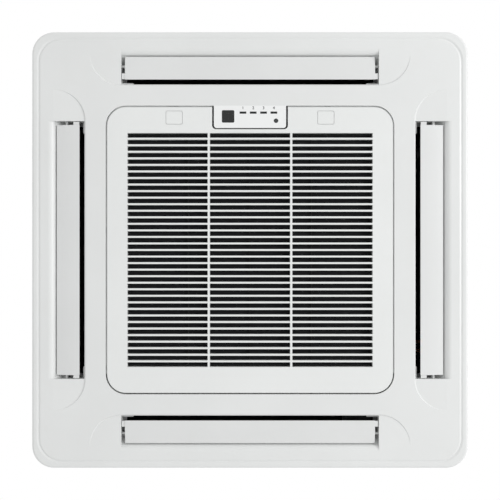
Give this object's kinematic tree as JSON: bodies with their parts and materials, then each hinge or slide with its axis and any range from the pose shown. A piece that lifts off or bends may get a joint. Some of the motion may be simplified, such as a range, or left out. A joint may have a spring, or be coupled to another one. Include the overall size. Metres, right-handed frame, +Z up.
{
  "type": "ceiling cassette air conditioner",
  "caption": "Ceiling cassette air conditioner: square panel with a hinged intake grille and turning air flaps, below a casing with a turbo fan, bent coil, drain pan and hanger lugs.",
  "frame": {"origin": "centre of the panel on the ceiling line, level with the upper rim of the panel's skirt", "axes": "+Z up into the ceiling void, -Y towards the receiver side of the panel, +X to the right as seen from below with the receiver side at the top"},
  "size_m": [0.95, 0.95, 0.2892],
  "materials": {
    "panel_white": "satin white moulded plastic",
    "grille_white": "satin white moulded plastic",
    "flap_white": "satin white moulded plastic",
    "receiver_white": "satin white moulded plastic",
    "window_dark": "smoked infrared window",
    "bar_clear": "frosted light bars",
    "dark_plastic": "black moulded plastic",
    "galvanised": "galvanised sheet",
    "steel": "turned or plated steel",
    "foam_black": "black closed-cell foam",
    "foam_white": "expanded polystyrene",
    "mesh_grey": "woven filter mesh",
    "fins": "stacked aluminium fins",
    "copper": "drawn copper tube",
    "brass": "turned brass",
    "fan_grey": "grey moulded plastic",
    "motor_black": "painted motor shell",
    "rubber_black": "black rubber",
    "board_green": "printed circuit board",
    "pale_plastic": "pale moulded plastic"
  },
  "bodies": {
    "casing": {"panel_frame": "panel_white", "flap_motors": "pale_plastic", "grille_hinge_pins": "panel_white", "receiver_housing": "receiver_white", "receiver_window": "window_dark", "indicator_bars": "bar_clear", "receiver_board": "board_green", "chassis_top": "galvanised", "chassis_sides": "galvanised", "chassis_insulation": "foam_black", "hanger_brackets": "galvanised", "bracket_bolts": "steel", "pan_straps": "galvanised", "panel_screws": "steel", "drain_pan": "foam_white", "drain_plug": "rubber_black", "coil_fins": "fins", "coil_end_plates": "galvanised", "coil_return_bends": "copper", "coil_baffle": "galvanised", "fan_motor": "motor_black", "motor_mounts": "rubber_black", "motor_plate": "galvanised", "bell_mouth": "pale_plastic", "bell_mouth_screws": "steel", "control_box": "galvanised", "control_box_cover": "galvanised", "control_board": "board_green", "terminal_block": "pale_plastic", "gas_pipe": "copper", "liquid_pipe": "copper", "flare_nuts": "brass", "pipe_outlet_plate": "galvanised", "cable_grommet": "rubber_black", "drain_pump": "pale_plastic", "pump_bracket": "galvanised", "float_switch": "pale_plastic", "drain_hose": "rubber_black", "drain_port": "pale_plastic", "panel_seal": "foam_black"},
    "intake_grille": {"intake_grille": "grille_white", "filter_frame": "dark_plastic", "filter_mesh": "mesh_grey"},
    "latch_left": {"latch_left": "grille_white"},
    "latch_right": {"latch_right": "grille_white"},
    "flap_front": {"flap_front": "flap_white"},
    "flap_right": {"flap_right": "flap_white"},
    "flap_back": {"flap_back": "flap_white"},
    "flap_left": {"flap_left": "flap_white"},
    "fan_rotor": {"turbo_fan": "fan_grey", "motor_shaft": "steel", "fan_nut": "steel"},
    "float": {"float_ring": "pale_plastic"},
    "manual_button": {"manual_button": "receiver_white"}
  },
  "joints": [
    {"name": "grille_hinge", "type": "hinge", "parent": "casing", "child": "intake_grille", "pos_m": [0, 0.29, -0.0335], "axis": [1, 0, 0], "range_deg": [0, 45]},
    {"name": "latch_left_press", "type": "slide", "parent": "intake_grille", "child": "latch_left", "axis": [0, 0, 1], "range_m": [0, 0.003], "stiffness_N_per_m": 600},
    {"name": "latch_right_press", "type": "slide", "parent": "intake_grille", "child": "latch_right", "axis": [0, 0, 1], "range_m": [0, 0.003], "stiffness_N_per_m": 600},
    {"name": "flap_right_turn", "type": "hinge", "parent": "casing", "child": "flap_right", "pos_m": [0.402, 0, -0.022], "axis": [0, 1, 0], "range_deg": [0, 60]},
    {"name": "flap_back_turn", "type": "hinge", "parent": "casing", "child": "flap_back", "pos_m": [0, 0.402, -0.022], "axis": [-1, 0, 0], "range_deg": [0, 60]},
    {"name": "flap_left_turn", "type": "hinge", "parent": "casing", "child": "flap_left", "pos_m": [-0.402, 0, -0.022], "axis": [0, -1, 0], "range_deg": [0, 60]},
    {"name": "flap_front_turn", "type": "hinge", "parent": "casing", "child": "flap_front", "pos_m": [0, -0.402, -0.022], "axis": [1, 0, 0], "range_deg": [0, 60]},
    {"name": "fan_spin", "type": "hinge", "parent": "casing", "child": "fan_rotor", "pos_m": [0, 0, 0], "axis": [0, 0, 1], "continuous": true},
    {"name": "float_rise", "type": "slide", "parent": "casing", "child": "float", "axis": [0, 0, 1], "range_m": [0, 0.012]},
    {"name": "button_press", "type": "slide", "parent": "casing", "child": "manual_button", "axis": [0, 0, 1], "range_m": [0, 0.001], "stiffness_N_per_m": 400}
  ]
}
